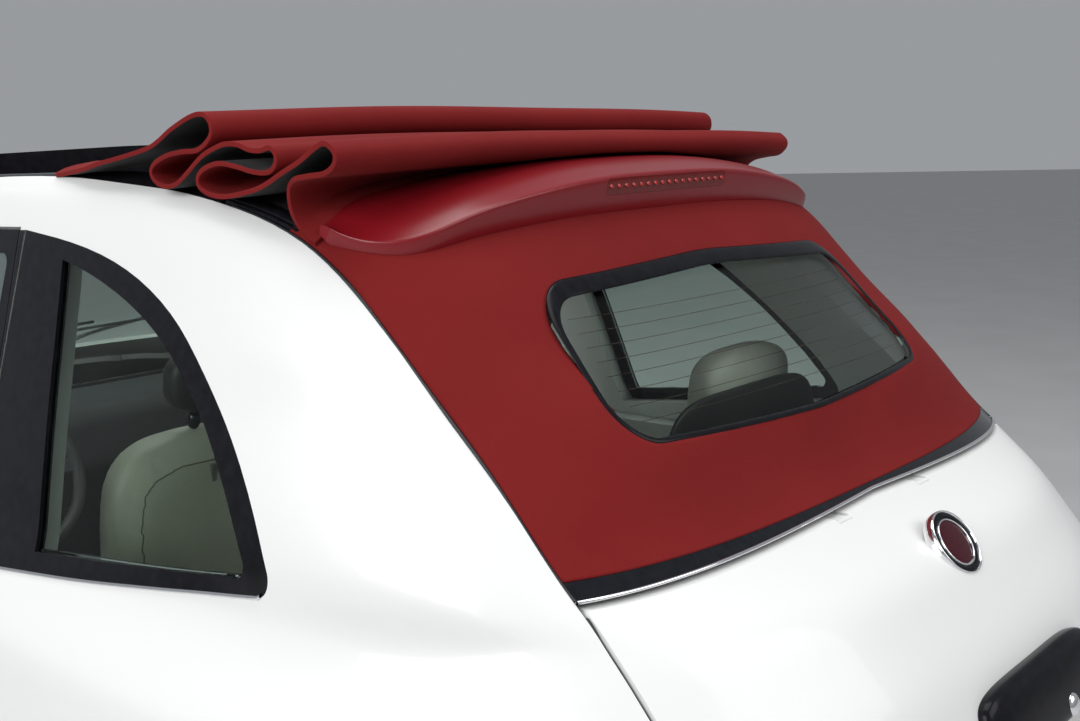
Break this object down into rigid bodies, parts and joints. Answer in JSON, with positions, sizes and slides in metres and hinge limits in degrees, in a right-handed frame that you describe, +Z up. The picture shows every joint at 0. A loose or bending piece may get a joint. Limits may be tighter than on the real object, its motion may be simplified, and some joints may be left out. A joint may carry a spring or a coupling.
{
  "type": "small convertible car",
  "caption": "Small two-door convertible car with a folding canvas roof stacked open behind the cabin, opening doors, bonnet and boot lid, and steered, rolling wheels.",
  "frame": {"origin": "centre of the footprint on the ground, under the middle of the overall box", "axes": "+X forward along the car, +Y to its left, +Z up"},
  "size_m": [3.5486, 1.92, 1.5426],
  "materials": {
    "paint_white": "gloss",
    "clear_glass": "gloss",
    "gloss_black": "gloss",
    "canvas": "matte",
    "spoiler_red": "satin",
    "bright_trim": "polished",
    "lamp_clear": "gloss",
    "lamp_red": "gloss",
    "underbody": "matte",
    "knuckle_iron": "matte",
    "engine_alloy": "matte",
    "shaft_steel": "satin",
    "dash_plastic": "matte",
    "seat_leather": "satin",
    "tyre_rubber": "matte",
    "rim_alloy": "satin"
  },
  "bodies": {
    "car_body": {"body_side_left": "paint_white", "body_side_right": "paint_white", "front_wings": "paint_white", "windscreen_frame": "paint_white", "windscreen": "clear_glass", "quarter_glass": "clear_glass", "quarter_seals": "gloss_black", "soft_top_rear": "canvas", "rear_window": "clear_glass", "rear_strip": "bright_trim", "soft_top_folds": "canvas", "spoiler": "spoiler_red", "bumper_front": "paint_white", "bumper_rear": "paint_white", "headlamps": "lamp_clear", "tail_lamps": "lamp_red", "floor": "underbody", "wheel_housings": "underbody", "front_subframe": "underbody", "rear_axle": "underbody", "engine": "engine_alloy", "drive_shafts": "shaft_steel", "dashboard": "dash_plastic", "seat_frames": "shaft_steel", "seat_cushions": "seat_leather", "seat_backs": "seat_leather", "rear_seat": "seat_leather", "brake_lamp": "lamp_red", "guide_rails": "gloss_black", "wind_deflector": "gloss_black", "parcel_shelf": "dash_plastic", "rear_deck": "underbody", "hinge_leaves": "shaft_steel", "grille": "gloss_black"},
    "steering_wheel": {"steering_wheel": "dash_plastic"},
    "knuckle_left": {"knuckle_left": "knuckle_iron"},
    "knuckle_right": {"knuckle_right": "knuckle_iron"},
    "wheel_fl": {"tyre_fl": "tyre_rubber", "rim_fl": "rim_alloy"},
    "wheel_fr": {"tyre_fr": "tyre_rubber", "rim_fr": "rim_alloy"},
    "wheel_rl": {"tyre_rl": "tyre_rubber", "rim_rl": "rim_alloy"},
    "wheel_rr": {"tyre_rr": "tyre_rubber", "rim_rr": "rim_alloy"},
    "door_left": {"door_left": "paint_white", "door_frame_left": "gloss_black", "door_glass_left": "clear_glass", "mirror_left": "paint_white"},
    "door_right": {"door_right": "paint_white", "door_frame_right": "gloss_black", "door_glass_right": "clear_glass", "mirror_right": "paint_white"},
    "bonnet": {"bonnet": "paint_white"},
    "boot_lid": {"boot_lid": "paint_white", "boot_handle": "bright_trim"}
  },
  "joints": [
    {"name": "steer_left", "type": "hinge", "parent": "car_body", "child": "knuckle_left", "pos_m": [1.073, 0.668, 0.19], "axis": [0, -0.169, 0.9856], "range_deg": [-32, 32]},
    {"name": "steer_right", "type": "hinge", "parent": "car_body", "child": "knuckle_right", "pos_m": [1.073, -0.668, 0.19], "axis": [0, 0.169, 0.9856], "range_deg": [-32, 32]},
    {"name": "steering_wheel_turn", "type": "hinge", "parent": "car_body", "child": "steering_wheel", "pos_m": [0.42, 0.345, 0.8], "axis": [-0.8988, 0, 0.4384], "range_deg": [-480, 480]},
    {"name": "spin_fl", "type": "hinge", "parent": "knuckle_left", "child": "wheel_fl", "pos_m": [1.073, 0.707, 0.292], "axis": [0, 1, 0], "continuous": true},
    {"name": "spin_fr", "type": "hinge", "parent": "knuckle_right", "child": "wheel_fr", "pos_m": [1.073, -0.707, 0.292], "axis": [0, 1, 0], "continuous": true},
    {"name": "spin_rl", "type": "hinge", "parent": "car_body", "child": "wheel_rl", "pos_m": [-1.227, 0.704, 0.292], "axis": [0, 1, 0], "continuous": true},
    {"name": "spin_rr", "type": "hinge", "parent": "car_body", "child": "wheel_rr", "pos_m": [-1.227, -0.704, 0.292], "axis": [0, 1, 0], "continuous": true},
    {"name": "door_left_hinge", "type": "hinge", "parent": "car_body", "child": "door_left", "pos_m": [0.65, 0.78, 0.6], "axis": [0, 0, -1], "range_deg": [0, 65]},
    {"name": "door_right_hinge", "type": "hinge", "parent": "car_body", "child": "door_right", "pos_m": [0.65, -0.78, 0.6], "axis": [0, 0, 1], "range_deg": [0, 65]},
    {"name": "bonnet_hinge", "type": "hinge", "parent": "car_body", "child": "bonnet", "pos_m": [0.978, 0, 0.978], "axis": [0, -1, 0], "range_deg": [0, 50]},
    {"name": "boot_lid_hinge", "type": "hinge", "parent": "car_body", "child": "boot_lid", "pos_m": [-1.517, 0, 0.9937], "axis": [0, 1, 0], "range_deg": [0, 75]}
  ],
  "couplings": [
    {"joint": "steer_right", "follows": "steer_left", "ratio": 1},
    {"joint": "steering_wheel_turn", "follows": "steer_left", "ratio": 15}
  ]
}
